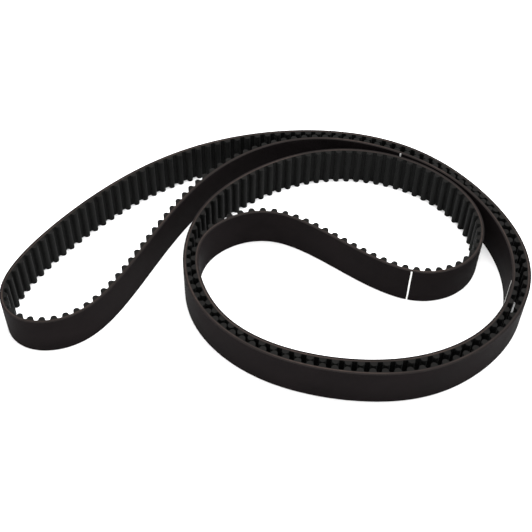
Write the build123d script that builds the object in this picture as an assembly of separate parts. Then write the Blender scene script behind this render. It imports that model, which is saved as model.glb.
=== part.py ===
from build123d import *
import math
import os

import numpy as np

os.makedirs("parts", exist_ok=True)

# An endless toothed belt that stands on one cut edge, coiled loosely on a flat surface.
# Millimetres, +Z up. The belt's width runs along Z, and the origin is at the middle of
# its footprint, on the surface it stands on.

# Belt size
PITCH = 8.0                # from tooth to tooth, along the pitch line
TEETH = 281
WIDTH = 30.0               # from cut edge to cut edge

# Layers, as distances from the pitch line. Plus is towards the smooth back.
BACK = 1.60                # ground back of the belt
CORD_TOP = 0.45            # where the backing rubber meets the cords
CORD_BOTTOM = -0.45        # where the cords meet the tooth rubber and the facing
LAND = -0.69               # tooth side of the facing, between two teeth
FACING = CORD_BOTTOM - LAND

# Tooth outline: a half round tip on two root fillets, all measured on the facing
TOOTH_HEIGHT = 3.05
TIP_RADIUS = 2.20
ROOT_RADIUS = TOOTH_HEIGHT - TIP_RADIUS
TOOTH_CENTRE = LAND - ROOT_RADIUS

# Tensile cords: turns of two cords laid side by side, which fill the width
CORD_TURNS = 24
CORD_STEP = WIDTH / CORD_TURNS

# Timing lines painted across the back: distance along the belt and line width
PAINT = 0.08
TIMING_LINES = {
    "timing_line_1": (1231.0, 1.1),
    "timing_line_2": (1709.5, 0.9),
    "timing_line_3": (1864.0, 1.2),
}

# How the belt lies: guide points of a closed, smooth curve, clockwise from the left end.
# The curve runs over the top, round the front, up the left side and over again, back to
# the left through the middle, round the front inside the first turn, and home.
GUIDES = [
    (-183, -59), (-167, -13), (-108, 62), (-39, 104), (43, 117), (111, 99), (157, 52),
    (183, -6), (173, -60), (128, -104), (75, -119), (-2, -107), (-51, -65), (-62, -14),
    (-47, 40), (9, 85), (67, 96), (121, 77), (156, 32), (147, -18), (105, -37),
    (61, -12), (5, 33), (-41, 14), (-56, -20), (-35, -76), (17, -104), (89, -109),
    (146, -82), (173, -31), (165, 28), (124, 82), (58, 108), (1, 103), (-56, 59),
    (-94, -31), (-120, -77), (-161, -85),
]
STEPS_PER_GUIDE = 60

# The pitch line is a chain of tangent arcs. Each holds three teeth, and the last one two.
TEETH_PER_ARC = 3
ARCS = math.ceil(TEETH / TEETH_PER_ARC)
ARC_ENDS = PITCH * np.minimum(np.arange(ARCS + 1) * TEETH_PER_ARC, TEETH)
ARC_LENGTHS = np.diff(ARC_ENDS)
CLOSING_ROUNDS = 6
EASING = 1 / 12            # share of the change in turn, from one arc to the next
STRAIGHT_RISE = 0.003      # a stretch that bends by less than this is drawn straight


def guide_curve():
    """Points along the closed cubic B-spline of the guides, back to the first one."""
    guides = np.array(GUIDES, float)
    u = np.linspace(0, 1, STEPS_PER_GUIDE, endpoint=False)
    weights = [(1 - u) ** 3, 3 * u**3 - 6 * u**2 + 4, -3 * u**3 + 3 * u**2 + 3 * u + 1, u**3]
    spans = sum(
        np.roll(guides, 1 - k, axis=0)[:, None, :] * weight[None, :, None]
        for k, weight in enumerate(weights)
    )
    points = spans.reshape(-1, 2) / 6
    return np.vstack([points, points[:1]])


def arc_headings(points):
    """Direction of the curve where one arc ends and the next begins."""
    steps = np.diff(points, axis=0)
    lengths = np.hypot(steps[:, 0], steps[:, 1])
    middles = np.cumsum(lengths) - lengths / 2
    headings = np.unwrap(np.arctan2(steps[:, 1], steps[:, 0]))
    total = lengths.sum()
    full_turn = round((headings[-1] - headings[0]) / (2 * math.pi)) * 2 * math.pi
    middles = np.concatenate([[middles[-1] - total], middles, [middles[0] + total]])
    headings = np.concatenate([[headings[-1] - full_turn], headings, [headings[0] + full_turn]])
    headings = np.interp(ARC_ENDS / ARC_ENDS[-1] * total, middles, headings)
    # An arc's mean direction is that of its ends, so they make up for the curve between
    bends = np.diff(headings) / ARC_LENGTHS
    easing = (bends - np.roll(bends, 1)) * ARC_LENGTHS.mean() * EASING
    return headings - np.append(easing, easing[0])


def chords(headings):
    """Straight step from each arc's start to its end."""
    turns = np.diff(headings)
    lengths = ARC_LENGTHS * np.sinc(turns / (2 * math.pi))
    middles = headings[:-1] + turns / 2
    return np.stack([lengths * np.cos(middles), lengths * np.sin(middles)], axis=1)


def close_chain(headings):
    """Turn the headings by the least that brings the last arc back to the first."""
    for _ in range(CLOSING_ROUNDS):
        gap = chords(headings).sum(axis=0)
        sideways = np.stack([-np.sin(headings), np.cos(headings)], axis=1)
        spans = sideways[:-1].T * ARC_LENGTHS
        pull = np.linalg.solve(spans @ sideways[:-1], gap)
        headings = headings - sideways @ pull
    return headings


class Arc:
    """One arc of the pitch line. Distance is along the belt, offset is towards its back."""

    def __init__(self, start, heading, turn, length):
        self.heading = heading
        self.length = length
        self.radius = length / turn
        self.centre = start + self.radius * self.back(heading)

    def back(self, heading):
        return np.array([-math.sin(heading), math.cos(heading)])

    def point(self, distance, offset):
        heading = self.heading + distance / self.radius
        return self.centre - (self.radius - offset) * self.back(heading)

    def stretch(self, first, last, offset):
        """The belt's line at this offset between two distances."""
        stops = (first, (first + last) / 2, last)
        points = [self.point(stop, offset) for stop in stops]
        if (last - first) ** 2 / (8 * abs(self.radius)) < STRAIGHT_RISE:
            return Line(as_tuple(points[0]), as_tuple(points[2])).edge()
        return three_point_arc(points)


def as_tuple(point):
    return (float(point[0]), float(point[1]))


def three_point_arc(points):
    return ThreePointArc(*[as_tuple(point) for point in points]).edge()


def lay_out():
    """The arcs of the pitch line, moved so that the footprint is centred."""
    points = guide_curve()
    headings = close_chain(arc_headings(points))
    steps = chords(headings)
    corners = np.cumsum(steps, axis=0) - steps
    arcs = [
        Arc(corner, heading, turn, length)
        for corner, heading, turn, length in zip(corners, headings, np.diff(headings), ARC_LENGTHS)
    ]
    back = np.array([arc.point(stop, BACK) for arc in arcs for stop in np.arange(arc.length)])
    middle = (back.min(axis=0) + back.max(axis=0)) / 2
    for arc in arcs:
        arc.centre = arc.centre - middle
    return arcs


def layer_line(arcs, offset):
    """Closed line all round the belt at one offset."""
    return Wire([arc.stretch(0, arc.length, offset) for arc in arcs])


def root_reach(arc):
    """Distance along the arc from a tooth's middle to where its root fillet ends."""
    swing = arc.radius - TOOTH_CENTRE
    half_angle = math.asin(TOOTH_HEIGHT / 2 / abs(swing))
    return 2 * half_angle * abs(arc.radius)


def tooth_flank(arc, middle, depth):
    """Edges of one tooth from root to root, at a depth under the facing's surface."""
    reach = root_reach(arc)
    tip_centre = arc.point(middle, TOOTH_CENTRE)
    edges = []
    for side in (-1, 1):
        root_end = middle + side * reach
        fillet_centre = arc.point(root_end, TOOTH_CENTRE)
        land_end = arc.point(root_end, LAND + depth)
        across = (tip_centre - fillet_centre) / TOOTH_HEIGHT
        flank_end = fillet_centre + across * (ROOT_RADIUS + depth)
        bisector = (land_end - fillet_centre) / (ROOT_RADIUS + depth) + across
        bulge = fillet_centre + bisector / np.linalg.norm(bisector) * (ROOT_RADIUS + depth)
        edges.append([land_end, bulge, flank_end])
    tip = arc.point(middle, TOOTH_CENTRE - TIP_RADIUS + depth)
    left, right = edges
    return [
        three_point_arc(left),
        three_point_arc([left[2], tip, right[2]]),
        three_point_arc(right[::-1]),
    ]


def tooth_middles(arc):
    return np.arange(PITCH / 2, arc.length, PITCH)


def toothed_line(arcs, depth):
    """Closed line all round the tooth side, at a depth under the facing's surface."""
    edges = []
    for arc in arcs:
        reach = root_reach(arc)
        done = 0
        for middle in tooth_middles(arc):
            edges.append(arc.stretch(done, middle - reach, LAND + depth))
            edges.extend(tooth_flank(arc, middle, depth))
            done = middle + reach
        edges.append(arc.stretch(done, arc.length, LAND + depth))
    return Wire(edges)


def band(outer, inner, height=WIDTH, bottom=0.0):
    """The layer between two closed lines, raised to its height."""
    face = Face(outer, [inner]).moved(Location((0, 0, bottom)))
    return Solid.extrude(face, Vector(0, 0, height))


def backing_rubber(arcs):
    """Smooth rubber back, over the cords."""
    return band(layer_line(arcs, BACK), layer_line(arcs, CORD_TOP))


def cord_turns(arcs, first):
    """Every second turn of cord, each with the rubber coat that fills its step."""
    outer = layer_line(arcs, CORD_TOP)
    inner = layer_line(arcs, CORD_BOTTOM)
    turns = range(first, CORD_TURNS, 2)
    return Compound(children=[band(outer, inner, CORD_STEP, turn * CORD_STEP) for turn in turns])


def tooth_rubber(arcs):
    """The rubber body of each tooth, under the facing."""
    teeth = []
    for arc in arcs:
        reach = root_reach(arc)
        for middle in tooth_middles(arc):
            base = arc.stretch(middle - reach, middle + reach, CORD_BOTTOM)
            outline = Wire([base] + tooth_flank(arc, middle, FACING))
            teeth.append(Solid.extrude(Face(outline), Vector(0, 0, WIDTH)))
    return Compound(children=teeth)


def tooth_facing(arcs):
    """Woven nylon that covers every tooth and the land between the teeth."""
    return band(toothed_line(arcs, FACING), toothed_line(arcs, 0.0))


def timing_line(arcs, distance, breadth):
    """A line of paint across the whole back."""
    number = np.searchsorted(ARC_ENDS, distance, side="right") - 1
    arc = arcs[number]
    first = distance - ARC_ENDS[number] - breadth / 2
    last = first + breadth
    under = arc.stretch(first, last, BACK)
    over = arc.stretch(first, last, BACK + PAINT)
    ends = [Line(under @ k, over @ k).edge() for k in (0, 1)]
    return Solid.extrude(Face(Wire([under, over] + ends)), Vector(0, 0, WIDTH))


arcs = lay_out()
parts = {
    "backing_rubber": backing_rubber(arcs),
    "cords_s_twist": cord_turns(arcs, 0),
    "cords_z_twist": cord_turns(arcs, 1),
    "tooth_rubber": tooth_rubber(arcs),
    "tooth_facing": tooth_facing(arcs),
}
for name, (distance, breadth) in TIMING_LINES.items():
    parts[name] = timing_line(arcs, distance, breadth)

for name, shape in parts.items():
    export_step(shape, f"parts/{name}.step")
    box = shape.bounding_box()
    print(name, [round(v, 3) for v in (*box.min, *box.max)])
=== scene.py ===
import math

import bmesh
import bpy
import numpy as np
from mathutils import Matrix, Vector


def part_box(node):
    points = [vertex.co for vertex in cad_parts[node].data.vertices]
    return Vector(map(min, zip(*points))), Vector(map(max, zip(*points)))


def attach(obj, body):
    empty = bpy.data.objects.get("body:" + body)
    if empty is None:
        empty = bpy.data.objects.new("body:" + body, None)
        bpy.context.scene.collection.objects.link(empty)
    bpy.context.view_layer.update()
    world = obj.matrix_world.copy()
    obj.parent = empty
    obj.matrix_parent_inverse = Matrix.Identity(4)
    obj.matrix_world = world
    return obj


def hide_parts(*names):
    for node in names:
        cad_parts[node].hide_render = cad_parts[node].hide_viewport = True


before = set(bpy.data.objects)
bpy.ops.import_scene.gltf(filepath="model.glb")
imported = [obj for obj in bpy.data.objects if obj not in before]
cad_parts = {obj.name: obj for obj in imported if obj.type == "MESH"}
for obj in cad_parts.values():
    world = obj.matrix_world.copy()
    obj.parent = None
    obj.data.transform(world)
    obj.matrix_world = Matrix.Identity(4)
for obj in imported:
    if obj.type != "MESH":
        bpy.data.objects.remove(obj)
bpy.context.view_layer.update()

MM = 0.001
BODY = "root"

# Belt sizes, as the CAD model has them, in metres
PITCH = 8.0 * MM
TEETH = 281
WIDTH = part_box("backing_rubber")[1].z
BACK = 1.60 * MM
CORD_TOP = 0.45 * MM
CORD_BOTTOM = -0.45 * MM
LAND = -0.69 * MM
FACING = CORD_BOTTOM - LAND
TOOTH_HEIGHT = 3.05 * MM
TIP_RADIUS = 2.20 * MM
ROOT_RADIUS = TOOTH_HEIGHT - TIP_RADIUS
TOOTH_CENTRE = LAND - ROOT_RADIUS
CORD_TURNS = 24
CORD_STEP = WIDTH / CORD_TURNS
PAINT = 0.08 * MM
TIMING_LINES = {
    "timing_line_1": (1231.0 * MM, 1.1 * MM),
    "timing_line_2": (1709.5 * MM, 0.9 * MM),
    "timing_line_3": (1864.0 * MM, 1.2 * MM),
}

# The guide points of the belt's line, the same ones as in the CAD model
GUIDES = MM * np.array([
    (-183, -59), (-167, -13), (-108, 62), (-39, 104), (43, 117), (111, 99), (157, 52),
    (183, -6), (173, -60), (128, -104), (75, -119), (-2, -107), (-51, -65), (-62, -14),
    (-47, 40), (9, 85), (67, 96), (121, 77), (156, 32), (147, -18), (105, -37),
    (61, -12), (5, 33), (-41, 14), (-56, -20), (-35, -76), (17, -104), (89, -109),
    (146, -82), (173, -31), (165, 28), (124, 82), (58, 108), (1, 103), (-56, 59),
    (-94, -31), (-120, -77), (-161, -85),
], float)
STEPS_PER_GUIDE = 120
CLOSING_ROUNDS = 6

# Mesh detail, in points
OUTLINE_STEPS = 9          # along each pitch, to find the footprint
BACK_STEPS = 4             # along each pitch of a smooth layer
FILLET_STEPS = 5
TIP_STEPS = 14
PAINT_ROWS = 40            # up a timing line
EDGE = 0.10 * MM           # broken corner along a cut edge
PAINT_WANDER = 0.02 * MM   # unevenness of a timing line's sides, from row to row
CUT_FACE_SLOPE = 0.6       # least upward or downward part of a cut face's normal
SHARP_ANGLE = math.radians(32)


# ---------------------------------------------------------------- the belt's line

def guide_curve():
    """Points along the closed cubic B-spline of the guides, back to the first one."""
    u = np.linspace(0, 1, STEPS_PER_GUIDE, endpoint=False)
    weights = [(1 - u) ** 3, 3 * u**3 - 6 * u**2 + 4, -3 * u**3 + 3 * u**2 + 3 * u + 1, u**3]
    spans = sum(
        np.roll(GUIDES, 1 - k, axis=0)[:, None, :] * weight[None, :, None]
        for k, weight in enumerate(weights)
    )
    points = spans.reshape(-1, 2) / 6
    return np.vstack([points, points[:1]])


def arc_headings(points):
    """Direction of the line at each end of every pitch."""
    steps = np.diff(points, axis=0)
    lengths = np.hypot(steps[:, 0], steps[:, 1])
    middles = np.cumsum(lengths) - lengths / 2
    headings = np.unwrap(np.arctan2(steps[:, 1], steps[:, 0]))
    total = lengths.sum()
    full_turn = round((headings[-1] - headings[0]) / (2 * math.pi)) * 2 * math.pi
    middles = np.concatenate([[middles[-1] - total], middles, [middles[0] + total]])
    headings = np.concatenate([[headings[-1] - full_turn], headings, [headings[0] + full_turn]])
    headings = np.interp(np.linspace(0, total, TEETH + 1), middles, headings)
    turns = np.diff(headings)
    easing = (turns - np.roll(turns, 1)) / 12
    return headings - np.append(easing, easing[0])


def chords(headings):
    """Straight step from each pitch's start to its end."""
    turns = np.diff(headings)
    lengths = PITCH * np.sinc(turns / (2 * math.pi))
    middles = headings[:-1] + turns / 2
    return np.stack([lengths * np.cos(middles), lengths * np.sin(middles)], axis=1)


def close_chain(headings):
    """Turn the headings by the least that brings the last pitch back to the first."""
    for _ in range(CLOSING_ROUNDS):
        gap = chords(headings).sum(axis=0)
        sideways = np.stack([-np.sin(headings), np.cos(headings)], axis=1)
        pull = np.linalg.solve(PITCH * sideways[:-1].T @ sideways[:-1], gap)
        headings = headings - sideways @ pull
    return headings


class BeltLine:
    """The pitch line as one tangent arc for each tooth, centred like the CAD model."""

    def __init__(self):
        headings = close_chain(arc_headings(guide_curve()))
        steps = chords(headings)
        self.heading = headings[:-1]
        self.turn = np.diff(headings)
        self.radius = PITCH / self.turn
        self.centre = np.cumsum(steps, axis=0) - steps
        self.centre = self.centre + self.radius[:, None] * self.back(self.heading)
        outline = self.points(np.linspace(0, PITCH, OUTLINE_STEPS), BACK).reshape(-1, 2)
        middle = (outline.min(axis=0) + outline.max(axis=0)) / 2
        low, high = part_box("backing_rubber")
        target = np.array([low.x + high.x, low.y + high.y]) / 2
        self.centre = self.centre + target - middle

    def back(self, heading):
        return np.stack([-np.sin(heading), np.cos(heading)], axis=-1)

    def normals(self, distances):
        """Unit vectors towards the back, for every pitch and distance along it."""
        distances = np.atleast_1d(distances)
        if distances.ndim == 1:
            distances = distances[None, :]
        headings = self.heading[:, None] + self.turn[:, None] * distances / PITCH
        return self.back(headings)

    def points(self, distances, offset):
        """Points for every pitch, at distances along it and an offset towards the back."""
        normals = self.normals(distances)
        return self.centre[:, None, :] - (self.radius[:, None, None] - offset) * normals

    def at(self, distance, offset):
        """One point of the belt, at a distance along its whole length."""
        pitch = int(distance // PITCH)
        heading = self.heading[pitch] + self.turn[pitch] * (distance % PITCH) / PITCH
        return self.centre[pitch] - (self.radius[pitch] - offset) * self.back(heading)


def smooth_line(line, offset):
    """Closed line at one offset from the pitch line."""
    stops = np.linspace(0, PITCH, BACK_STEPS, endpoint=False)
    return line.points(stops, offset).reshape(-1, 2)


def root_reach(line):
    """Distance from each tooth's middle to where its root fillets end."""
    half_angle = np.arcsin(TOOTH_HEIGHT / 2 / np.abs(line.radius - TOOTH_CENTRE))
    return 2 * half_angle * np.abs(line.radius)


def swing(centre, first, last, radius, steps):
    """Points on arcs about centres, from one direction to another, the short way."""
    start = np.arctan2(first[..., 1], first[..., 0])
    sweep = np.arctan2(last[..., 1], last[..., 0]) - start
    sweep = (sweep + math.pi) % (2 * math.pi) - math.pi
    angles = start[:, None] + sweep[:, None] * np.linspace(0, 1, steps)
    return centre[:, None, :] + radius * np.stack([np.cos(angles), np.sin(angles)], axis=-1)


def tooth_profile(line, depth):
    """Outline of every tooth from root to root, at a depth under the facing's surface."""
    reach = root_reach(line)[:, None]
    middle = np.full_like(reach, PITCH / 2)
    tip_centre = line.points(middle, TOOTH_CENTRE)[:, 0]
    tip_way = -line.normals(middle)[:, 0]
    flanks = []
    ways = []
    for side in (-1, 1):
        root = middle + side * reach
        fillet_centre = line.points(root, TOOTH_CENTRE)[:, 0]
        across = (tip_centre - fillet_centre) / TOOTH_HEIGHT
        up = line.normals(root)[:, 0]
        flanks.append(swing(fillet_centre, up, across, ROOT_RADIUS + depth, FILLET_STEPS))
        ways.append(-across)
    half = TIP_STEPS // 2 + 1
    left = swing(tip_centre, ways[0], tip_way, TIP_RADIUS - depth, half)
    right = swing(tip_centre, tip_way, ways[1], TIP_RADIUS - depth, half)
    return np.concatenate(
        [flanks[0], left[:, 1:], right[:, 1:-1], flanks[1][:, ::-1]], axis=1
    )


def toothed_line(line, depth):
    """Closed line all round the tooth side, at a depth under the facing's surface."""
    land = line.points(np.zeros(1), LAND + depth)
    return np.concatenate([land, tooth_profile(line, depth)], axis=1).reshape(-1, 2)


# ---------------------------------------------------------------- meshes

def run_length(points):
    """Distance along a closed line at each of its points, and its whole length."""
    steps = np.linalg.norm(np.roll(points, -1, axis=0) - points, axis=1)
    return np.cumsum(steps) - steps, steps.sum()


def add_object(name, vertices, faces, along):
    """A mesh object with, for each face corner, its place along the belt in millimetres."""
    mesh = bpy.data.meshes.new(name)
    mesh.from_pydata(vertices, [], faces)
    place = mesh.attributes.new("along", "FLOAT", "CORNER")
    place.data.foreach_set("value", np.asarray(along, np.float32) / MM)
    mesh.validate()
    mesh.update()
    piece = bpy.data.objects.new(name, mesh)
    bpy.context.scene.collection.objects.link(piece)
    return piece


def sweep(name, rails):
    """A closed ring whose section's corners run along rails of (line, height)."""
    count = len(rails[0][0])
    along, length = run_length(rails[0][0])
    along = np.append(along, length)
    rows = [np.column_stack([points, np.full(count, height)]) for points, height in rails]
    i = np.arange(count)
    after = (i + 1) % count
    faces = []
    corners = []
    for k in range(len(rails)):
        here = k * count
        there = (k + 1) % len(rails) * count
        faces.append(np.column_stack([here + i, here + after, there + after, there + i]))
        corners.append(np.column_stack([along[i], along[i + 1], along[i + 1], along[i]]))
    return add_object(
        name, np.vstack(rows).tolist(), np.vstack(faces).tolist(), np.vstack(corners).ravel()
    )


def band_rails(outer, broken, inner, low, high, edge=EDGE):
    """Section of a band whose outer corners are broken along both cut edges."""
    return [
        (inner, low), (broken, low), (outer, low + edge),
        (outer, high - edge), (broken, high), (inner, high),
    ]


# ---------------------------------------------------------------- materials

class Shader:
    """A material with one Principled shader, and short calls that add nodes to it."""

    def __init__(self, name, **values):
        self.material = bpy.data.materials.new(name)
        self.material.use_nodes = True
        self.tree = self.material.node_tree
        self.bsdf = self.tree.nodes["Principled BSDF"]
        for socket, value in values.items():
            self.bsdf.inputs[socket.replace("_", " ")].default_value = value

    def add(self, kind, **settings):
        node = self.tree.nodes.new("ShaderNode" + kind)
        for key, value in settings.items():
            setattr(node, key, value)
        return node

    def join(self, output, target):
        self.tree.links.new(output, target)

    def place(self):
        """Place on the belt in millimetres, along it and across its width, apart and as one."""
        along = self.add("Attribute", attribute_name="along").outputs["Fac"]
        spot = self.add("TexCoord").outputs["Object"]
        split = self.add("SeparateXYZ")
        self.join(spot, split.inputs[0])
        across = self.math("MULTIPLY", split.outputs["Z"], 1 / MM)
        both = self.add("CombineXYZ")
        self.join(along, both.inputs["X"])
        self.join(across, both.inputs["Y"])
        return along, across, both.outputs[0]

    def math(self, kind, first, second):
        node = self.add("Math", operation=kind)
        for socket, value in zip(node.inputs, (first, second)):
            if isinstance(value, (int, float)):
                socket.default_value = value
            else:
                self.join(value, socket)
        return node.outputs[0]

    def noise(self, where, scale, stretch=(1, 1, 1), detail=3.0):
        """Noise at this many lumps to a unit of place, drawn out along each axis."""
        mapping = self.add("Mapping")
        mapping.inputs["Scale"].default_value = [scale / s for s in stretch]
        self.join(where, mapping.inputs["Vector"])
        noise = self.add("TexNoise")
        noise.inputs["Scale"].default_value = 1.0
        noise.inputs["Detail"].default_value = detail
        self.join(mapping.outputs[0], noise.inputs["Vector"])
        return noise.outputs["Fac"]

    def spread(self, value, low, high, start=0.35, end=0.65):
        """A value from low to high, as the noise goes from start to end."""
        node = self.add("MapRange")
        for socket, number in zip(node.inputs[1:5], (start, end, low, high)):
            socket.default_value = number
        self.join(value, node.inputs["Value"])
        return node.outputs[0]

    def blend(self, value, low, high, start=0.35, end=0.65):
        """A colour from low to high, as the noise goes from start to end."""
        ramp = self.add("ValToRGB")
        for stop, place, colour in zip(ramp.color_ramp.elements, (start, end), (low, high)):
            stop.position = place
            stop.color = (*colour, 1)
        self.join(value, ramp.inputs["Fac"])
        return ramp.outputs["Color"]

    def overlay(self, factor, base, top):
        mix = self.add("Mix", data_type="RGBA")
        self.join(factor, mix.inputs["Factor"])
        for socket, colour in zip((mix.inputs[6], mix.inputs[7]), (base, top)):
            if isinstance(colour, tuple):
                socket.default_value = (*colour, 1)
            else:
                self.join(colour, socket)
        return mix.outputs[2]

    def bump(self, height, depth):
        node = self.add("Bump")
        node.inputs["Strength"].default_value = 1.0
        node.inputs["Distance"].default_value = depth
        self.join(height, node.inputs["Height"])
        self.join(node.outputs[0], self.bsdf.inputs["Normal"])

    def colour(self, output):
        self.join(output, self.bsdf.inputs["Base Color"])

    def roughness(self, output):
        self.join(output, self.bsdf.inputs["Roughness"])


def ground_rubber():
    """Smooth back: ground along the belt, with a warm cast and faint handling marks."""
    shader = Shader("ground_rubber", Specular_IOR_Level=0.015)
    *_, place = shader.place()
    lines = shader.noise(place, 2.2, stretch=(30, 1, 1), detail=4)
    grain = shader.noise(place, 5.0, detail=2)
    cloud = shader.noise(place, 0.05, stretch=(1.6, 1, 1), detail=5)
    marks = shader.noise(place, 0.35, stretch=(5, 1, 1), detail=3)
    colour = shader.blend(cloud, (0.0054, 0.0042, 0.0044), (0.0092, 0.0073, 0.0076), 0.3, 0.7)
    colour = shader.overlay(shader.spread(marks, 0, 0.5, 0.60, 0.80), colour, (0.0086, 0.0070, 0.0072))
    shader.colour(colour)
    shader.roughness(shader.spread(cloud, 0.60, 0.74))
    height = shader.math("ADD", lines, shader.math("MULTIPLY", grain, 0.6))
    shader.bump(height, 0.035 * MM)
    return shader.material


def cut_rubber(name, dark, light):
    """Sawn edge: dull, with fine lines along the cut."""
    shader = Shader(name, Specular_IOR_Level=0.04)
    *_, place = shader.place()
    where = shader.add("TexCoord").outputs["Object"]
    lines = shader.noise(where, 2500.0, detail=3)
    patches = shader.noise(place, 0.12, detail=3)
    shader.colour(shader.blend(lines, dark, light, 0.3, 0.7))
    shader.roughness(shader.spread(patches, 0.68, 0.85))
    shader.bump(lines, 0.05 * MM)
    return shader.material


def cord_fibre():
    """Dipped glass cord where the saw has opened it, brown between smears of rubber."""
    shader = Shader("cord_fibre", Specular_IOR_Level=0.05)
    *_, place = shader.place()
    strands = shader.noise(place, 1.2, stretch=(4, 1, 1), detail=4)
    smears = shader.noise(place, 0.045, stretch=(2, 1, 1), detail=5)
    fibre = shader.blend(strands, (0.017, 0.0118, 0.0103), (0.036, 0.0262, 0.0228), 0.3, 0.7)
    cover = shader.spread(smears, 0.0, 0.90, 0.38, 0.60)
    shader.colour(shader.overlay(cover, fibre, (0.012, 0.0092, 0.0084)))
    shader.roughness(shader.spread(strands, 0.55, 0.75))
    shader.bump(strands, 0.08 * MM)
    return shader.material


def facing_weave():
    """Nylon facing: a close twill, with paler threads and patches of paler and darker tone."""
    shader = Shader("facing_weave", Specular_IOR_Level=0.05)
    shader.bsdf.inputs["Sheen Weight"].default_value = 0.02
    shader.bsdf.inputs["Sheen Roughness"].default_value = 0.45
    along, across, place = shader.place()
    warp = shader.math("SINE", shader.math("MULTIPLY", along, 2 * math.pi / 0.50), 0.0)
    slant = shader.math("ADD", along, shader.math("MULTIPLY", across, 2.0))
    weft = shader.math("SINE", shader.math("MULTIPLY", slant, 2 * math.pi / 0.62), 0.0)
    weave = shader.math("ADD", shader.math("MULTIPLY", warp, weft), warp)
    fuzz = shader.noise(place, 4.0, detail=3)
    patches = shader.noise(place, 0.10, stretch=(1, 2.5, 1), detail=4)
    colour = shader.blend(patches, (0.0024, 0.0026, 0.0025), (0.0045, 0.0048, 0.0045), 0.3, 0.7)
    threads = shader.spread(weave, 0.0, 0.35, -1.0, 2.0)
    shader.colour(shader.overlay(threads, colour, (0.0078, 0.0082, 0.0078)))
    shader.roughness(shader.spread(fuzz, 0.55, 0.75))
    shader.bump(shader.math("ADD", weave, shader.math("MULTIPLY", fuzz, 1.5)), 0.018 * MM)
    return shader.material


def marking_paint():
    """Brushed white paint, thin over the ground rubber."""
    shader = Shader("marking_paint", Specular_IOR_Level=0.35)
    *_, place = shader.place()
    thin = shader.noise(place, 1.4, stretch=(1, 3, 1), detail=4)
    shader.colour(shader.blend(thin, (0.72, 0.71, 0.69), (0.90, 0.90, 0.88), 0.25, 0.5))
    shader.roughness(shader.spread(thin, 0.45, 0.65))
    shader.bump(thin, 0.04 * MM)
    return shader.material


# ---------------------------------------------------------------- pieces

def finish_piece(piece, materials, node):
    """Normals outwards, round faces smooth, cut faces in their own material."""
    mesh = piece.data
    work = bmesh.new()
    work.from_mesh(mesh)
    bmesh.ops.recalc_face_normals(work, faces=work.faces)
    work.to_mesh(mesh)
    work.free()
    for material in materials:
        mesh.materials.append(material)
    for face in mesh.polygons:
        face.use_smooth = True
        on_cut_face = abs(face.normal.z) > CUT_FACE_SLOPE
        face.material_index = 1 if len(materials) > 1 and on_cut_face else 0
    mesh.set_sharp_from_angle(angle=SHARP_ANGLE)
    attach(piece, BODY)
    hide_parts(node)
    return piece


def backing(line, materials):
    inner = smooth_line(line, CORD_TOP)
    broken = smooth_line(line, BACK - EDGE)
    outer = smooth_line(line, BACK)
    piece = sweep("smooth_back", band_rails(outer, broken, inner, 0.0, WIDTH))
    return finish_piece(piece, materials, "backing_rubber")


def cords(line, name, first, node, materials):
    """Every second turn of cord, as rings in one piece."""
    outer = smooth_line(line, CORD_TOP)
    inner = smooth_line(line, CORD_BOTTOM)
    turns = []
    for turn in range(first, CORD_TURNS, 2):
        low = turn * CORD_STEP
        high = low + CORD_STEP
        turns.append(sweep("turn", [(inner, low), (outer, low), (outer, high), (inner, high)]))
    piece = join(name, turns)
    return finish_piece(piece, materials, node)


def join(name, pieces):
    """One object that holds the meshes of several."""
    with bpy.context.temp_override(active_object=pieces[0], selected_editable_objects=pieces):
        bpy.ops.object.join()
    pieces[0].name = name
    pieces[0].data.name = name
    return pieces[0]


def tooth_cores(line, materials):
    """The rubber body of every tooth, between the facing and the cords."""
    profile = tooth_profile(line, FACING)
    count = profile.shape[1]
    reach = root_reach(line)[:, None]
    share = np.linspace(-1, 1, count)[None, :]
    base = line.points(PITCH / 2 + reach * share, CORD_BOTTOM)
    base[:, 0] = profile[:, 0]
    base[:, -1] = profile[:, -1]
    vertices = []
    faces = []
    along = []
    for tooth in range(TEETH):
        first = len(vertices)
        ring = np.concatenate([profile[tooth], base[tooth, -2:0:-1]])
        size = len(ring)
        for height in (0.0, WIDTH):
            vertices.extend([*point, height] for point in ring.tolist())
        for i in range(size):
            j = (i + 1) % size
            faces.append([first + i, first + j, first + size + j, first + size + i])
        for low in (first, first + size):
            for i in range(count - 1):
                corners = (i, i + 1, -(i + 1), -i)
                cap = list(dict.fromkeys(low + corner % size for corner in corners))
                faces.append(cap)
        here = tooth * PITCH
        along.extend([here] * sum(len(face) for face in faces[-(size + 2 * (count - 1)):]))
    piece = add_object("tooth_cores", vertices, faces, along)
    return finish_piece(piece, materials, "tooth_rubber")


def facing(line, materials):
    outer = toothed_line(line, 0.0)
    broken = toothed_line(line, EDGE / 2)
    inner = toothed_line(line, FACING)
    rails = band_rails(outer, broken, inner, 0.0, WIDTH, edge=EDGE / 2)
    piece = sweep("woven_facing", rails)
    return finish_piece(piece, materials, "tooth_facing")


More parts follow.
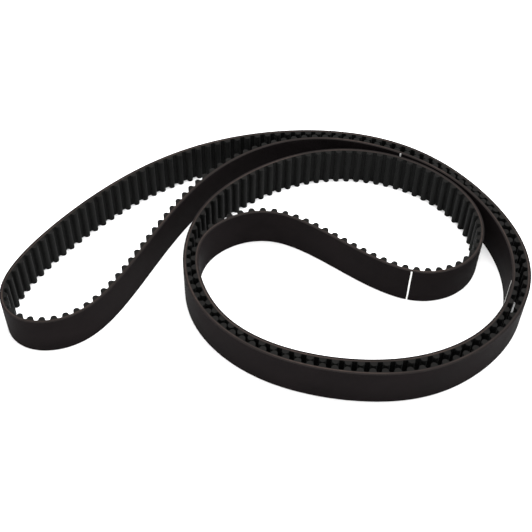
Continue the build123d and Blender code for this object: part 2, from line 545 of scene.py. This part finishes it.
def timing_line(line, node, distance, breadth, materials):
    """A brushed line of paint across the back, a little uneven along its sides."""
    rng = np.random.default_rng(int(distance / MM))
    heights = np.linspace(0.0, WIDTH, PAINT_ROWS)
    wander = np.cumsum(rng.normal(0, PAINT_WANDER, (2, PAINT_ROWS)), axis=1)
    wander -= wander.mean(axis=1, keepdims=True)
    vertices = []
    for height, left, right in zip(heights, *wander):
        stops = (distance - breadth / 2 + left, distance, distance + breadth / 2 + right)
        for lift in (0.0, PAINT):
            for stop in stops:
                vertices.append([*line.at(stop, BACK + lift), height])
    # A row holds three corners on the belt's back, then three on top of the paint
    size = 6
    around = [0, 1, 2, 5, 4, 3]
    faces = []
    for row in range(PAINT_ROWS - 1):
        low = row * size
        for a, b in zip(around, around[1:] + around[:1]):
            faces.append([low + a, low + b, low + size + b, low + size + a])
    last = (PAINT_ROWS - 1) * size
    for low in (0, last):
        faces.append([low + 0, low + 1, low + 4, low + 3])
        faces.append([low + 1, low + 2, low + 5, low + 4])
    along = [distance] * sum(len(face) for face in faces)
    piece = add_object(node + "_paint", vertices, faces, along)
    return finish_piece(piece, materials, node)


# ---------------------------------------------------------------- floor, light, camera

def add_floor():
    mesh = bpy.data.meshes.new("floor")
    reach = 6.0
    corners = [(-reach, -reach, 0), (reach, -reach, 0), (reach, reach, 0), (-reach, reach, 0)]
    mesh.from_pydata(corners, [], [(0, 1, 2, 3)])
    floor = bpy.data.objects.new("floor", mesh)
    bpy.context.scene.collection.objects.link(floor)
    shader = Shader("floor_paper", Roughness=0.9, Specular_IOR_Level=0.0)
    shader.bsdf.inputs["Base Color"].default_value = (0.90, 0.90, 0.90, 1)
    mesh.materials.append(shader.material)


def add_area_light(name, place, target, size, power):
    data = bpy.data.lights.new(name, "AREA")
    data.shape = "SQUARE"
    data.size = size
    data.energy = power
    light = bpy.data.objects.new(name, data)
    light.location = place
    light.rotation_euler = (Vector(target) - Vector(place)).to_track_quat("-Z", "Y").to_euler()
    bpy.context.scene.collection.objects.link(light)


def add_camera():
    """Camera above and in front of the belt, tipped down and turned a little."""
    tilt = math.radians(48.90)
    roll = math.radians(1.43)
    place = Vector((-0.0026, -0.4604, 0.5268))
    focal_px = 966.2
    ahead = Vector((0, math.cos(tilt), -math.sin(tilt)))
    level_up = Vector((0, math.sin(tilt), math.cos(tilt)))
    level_right = Vector((1, 0, 0))
    right = math.cos(roll) * level_right + math.sin(roll) * level_up
    up = math.cos(roll) * level_up - math.sin(roll) * level_right
    data = bpy.data.cameras.new("camera")
    data.sensor_width = 36.0
    data.lens = 36.0 * focal_px / 532
    camera = bpy.data.objects.new("camera", data)
    turn = Matrix((right, up, -ahead)).transposed().to_4x4()
    camera.matrix_world = Matrix.Translation(place) @ turn
    bpy.context.scene.collection.objects.link(camera)
    bpy.context.scene.camera = camera


def add_world():
    world = bpy.data.worlds.new("studio")
    world.use_nodes = True
    background = world.node_tree.nodes["Background"]
    background.inputs["Color"].default_value = (1.0, 1.0, 1.0, 1)
    background.inputs["Strength"].default_value = 0.90
    bpy.context.scene.world = world


add_camera()
add_world()
add_floor()
add_area_light("overhead", (0.15, 0.25, 1.5), (0, 0, 0), 1.6, 62.0)

line = BeltLine()
cut_back = cut_rubber("cut_rubber", (0.0066, 0.0055, 0.0053), (0.0125, 0.0104, 0.0100))
cut_tooth = cut_rubber("cut_tooth", (0.0044, 0.0042, 0.0040), (0.0082, 0.0079, 0.0075))
fibre = cord_fibre()
weave = facing_weave()
paint = marking_paint()
backing(line, [ground_rubber(), cut_back])
cords(line, "s_twist_cords", 0, "cords_s_twist", [fibre])
cords(line, "z_twist_cords", 1, "cords_z_twist", [fibre])
tooth_cores(line, [cut_tooth])
facing(line, [weave])
for node, (distance, breadth) in TIMING_LINES.items():
    timing_line(line, node, distance, breadth, [paint])

bpy.context.scene.view_settings.view_transform = "Standard"
